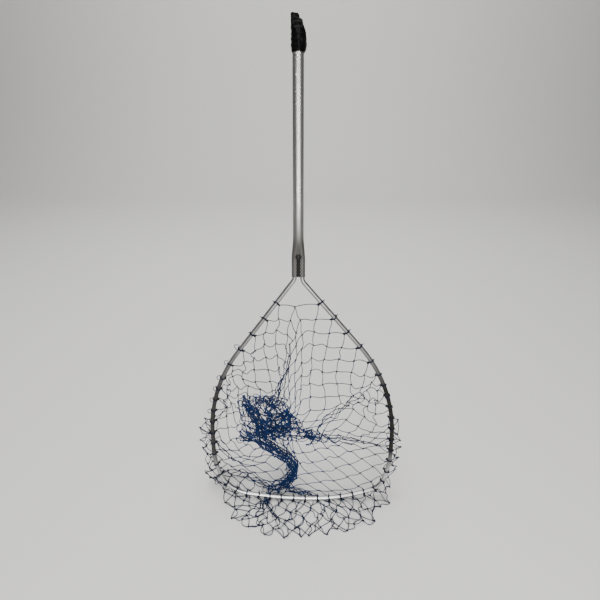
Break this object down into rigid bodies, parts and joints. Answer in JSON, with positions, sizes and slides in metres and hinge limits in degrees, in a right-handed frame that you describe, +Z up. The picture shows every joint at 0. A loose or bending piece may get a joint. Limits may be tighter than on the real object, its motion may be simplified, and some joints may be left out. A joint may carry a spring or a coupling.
{
  "type": "landing net",
  "caption": "Hand landing net: embossed tube handle flattened into a yoke, bent teardrop hoop tube, and a knotted diamond-mesh bag tied round the hoop.",
  "frame": {"origin": "middle of the hand grip, on the handle's axis, 1.067 m above the floor that the hoop rests on", "axes": "+Z up; +X to the right when looking into the hoop's mouth; the net leans back 11.3 degrees towards +Y"},
  "size_m": [0.5698, 0.37, 1.1683],
  "materials": {
    "embossed_aluminium": "satin, embossed with small diamonds",
    "hoop_aluminium": "drawn tube, dull with handling marks",
    "rivet_metal": "plain",
    "plug_plastic": "moulded",
    "black_tape": "glossy vinyl tape, wrinkled",
    "hitch_twine": "twisted twine",
    "net_twine": "twisted twine, knotted mesh"
  },
  "bodies": {
    "root": {"handle_tube": "embossed_aluminium", "yoke_rivet": "rivet_metal", "hoop_tube": "hoop_aluminium", "butt_plug": "plug_plastic", "butt_plug_rivet": "rivet_metal", "butt_tape_wrap": "black_tape", "butt_tape_fold": "black_tape", "rim_hitches_left_arm": "hitch_twine", "rim_hitches_left_side": "hitch_twine", "rim_hitches_bottom_left": "hitch_twine", "rim_hitches_bottom_right": "hitch_twine", "rim_hitches_right_side": "hitch_twine", "rim_hitches_right_arm": "hitch_twine", "top_bridge_twine": "hitch_twine", "net_back_panel": "net_twine", "net_gathered_folds": "net_twine", "net_left_sag": "net_twine", "net_right_sag": "net_twine", "net_left_bulge": "net_twine", "net_right_bulge": "net_twine", "net_twisted_tail": "net_twine", "net_front_apron": "net_twine"}
  },
  "joints": []
}
